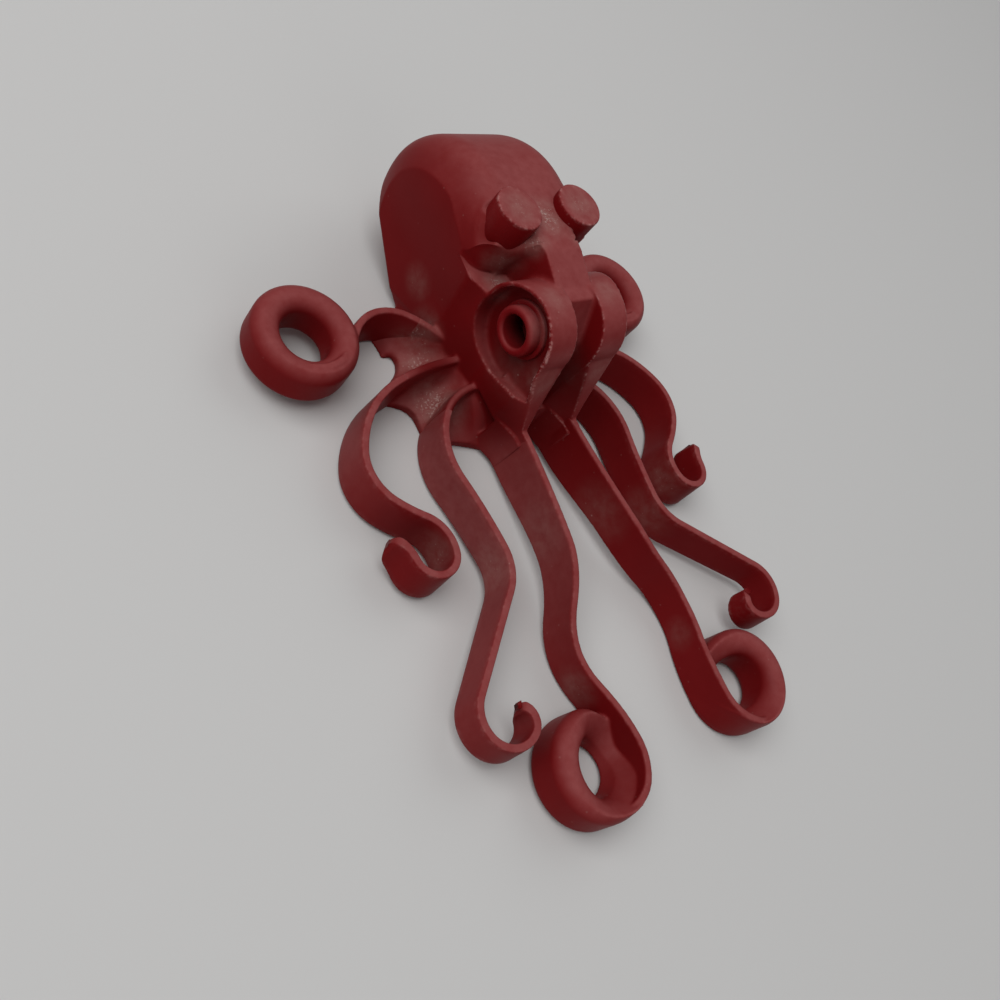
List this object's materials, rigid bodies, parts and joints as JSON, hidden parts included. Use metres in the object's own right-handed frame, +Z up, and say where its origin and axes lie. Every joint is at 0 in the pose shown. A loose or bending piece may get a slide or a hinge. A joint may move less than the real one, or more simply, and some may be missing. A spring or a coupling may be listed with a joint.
{
  "type": "octopus figurine",
  "caption": "Small moulded toy octopus with a flat-sided domed head, stud eyes, hollow cheek pegs and springy ribbon arms that end in rings or curls.",
  "frame": {"origin": "on the flat underside, midway between the two flat sides, at the roots of the arms", "axes": "+Z up along the eye studs, -Y towards the face and the front arms, X across the figure"},
  "size_m": [0.0522, 0.0675, 0.0197],
  "materials": {
    "red_plastic": "satin"
  },
  "bodies": {
    "head": {"mantle": "red_plastic", "trunk": "red_plastic", "bridge": "red_plastic", "eye_left": "red_plastic", "cheek_left": "red_plastic", "cheek_peg_left": "red_plastic", "web_left": "red_plastic", "eye_right": "red_plastic", "cheek_right": "red_plastic", "cheek_peg_right": "red_plastic", "web_right": "red_plastic"},
    "rear_arm_left": {"rear_arm_left": "red_plastic", "rear_ring_left": "red_plastic"},
    "side_arm_left": {"side_arm_left": "red_plastic"},
    "middle_arm_left": {"middle_arm_left": "red_plastic"},
    "front_arm_left": {"front_arm_left": "red_plastic", "front_ring_left": "red_plastic"},
    "rear_arm_right": {"rear_arm_right": "red_plastic", "rear_ring_right": "red_plastic"},
    "side_arm_right": {"side_arm_right": "red_plastic"},
    "middle_arm_right": {"middle_arm_right": "red_plastic"},
    "front_arm_right": {"front_arm_right": "red_plastic", "front_ring_right": "red_plastic"}
  },
  "joints": [
    {"name": "rear_arm_left_bend", "type": "hinge", "parent": "head", "child": "rear_arm_left", "pos_m": [-0.00901, 0.00379, 0.0025], "axis": [0, 0, -1], "range_deg": [-6, 12], "stiffness_Nm_per_rad": 0.03},
    {"name": "side_arm_left_bend", "type": "hinge", "parent": "head", "child": "side_arm_left", "pos_m": [-0.0139, -0.00303, 0.0025], "axis": [0, 0, -1], "range_deg": [-4, 8], "stiffness_Nm_per_rad": 0.02},
    {"name": "middle_arm_left_bend", "type": "hinge", "parent": "head", "child": "middle_arm_left", "pos_m": [-0.01055, -0.00791, 0.0025], "axis": [0, 0, -1], "range_deg": [-2, 6], "stiffness_Nm_per_rad": 0.015},
    {"name": "front_arm_left_bend", "type": "hinge", "parent": "head", "child": "front_arm_left", "pos_m": [-0.00355, -0.0129, 0.0025], "axis": [0, 0, -1], "range_deg": [-8, 0], "stiffness_Nm_per_rad": 0.02},
    {"name": "rear_arm_right_bend", "type": "hinge", "parent": "head", "child": "rear_arm_right", "pos_m": [0.00901, 0.00379, 0.0025], "axis": [0, 0, 1], "range_deg": [-6, 12], "stiffness_Nm_per_rad": 0.03},
    {"name": "side_arm_right_bend", "type": "hinge", "parent": "head", "child": "side_arm_right", "pos_m": [0.0139, -0.00303, 0.0025], "axis": [0, 0, 1], "range_deg": [-4, 8], "stiffness_Nm_per_rad": 0.02},
    {"name": "middle_arm_right_bend", "type": "hinge", "parent": "head", "child": "middle_arm_right", "pos_m": [0.01055, -0.00791, 0.0025], "axis": [0, 0, 1], "range_deg": [-2, 6], "stiffness_Nm_per_rad": 0.015},
    {"name": "front_arm_right_bend", "type": "hinge", "parent": "head", "child": "front_arm_right", "pos_m": [0.00355, -0.0129, 0.0025], "axis": [0, 0, 1], "range_deg": [-8, 0], "stiffness_Nm_per_rad": 0.02}
  ]
}
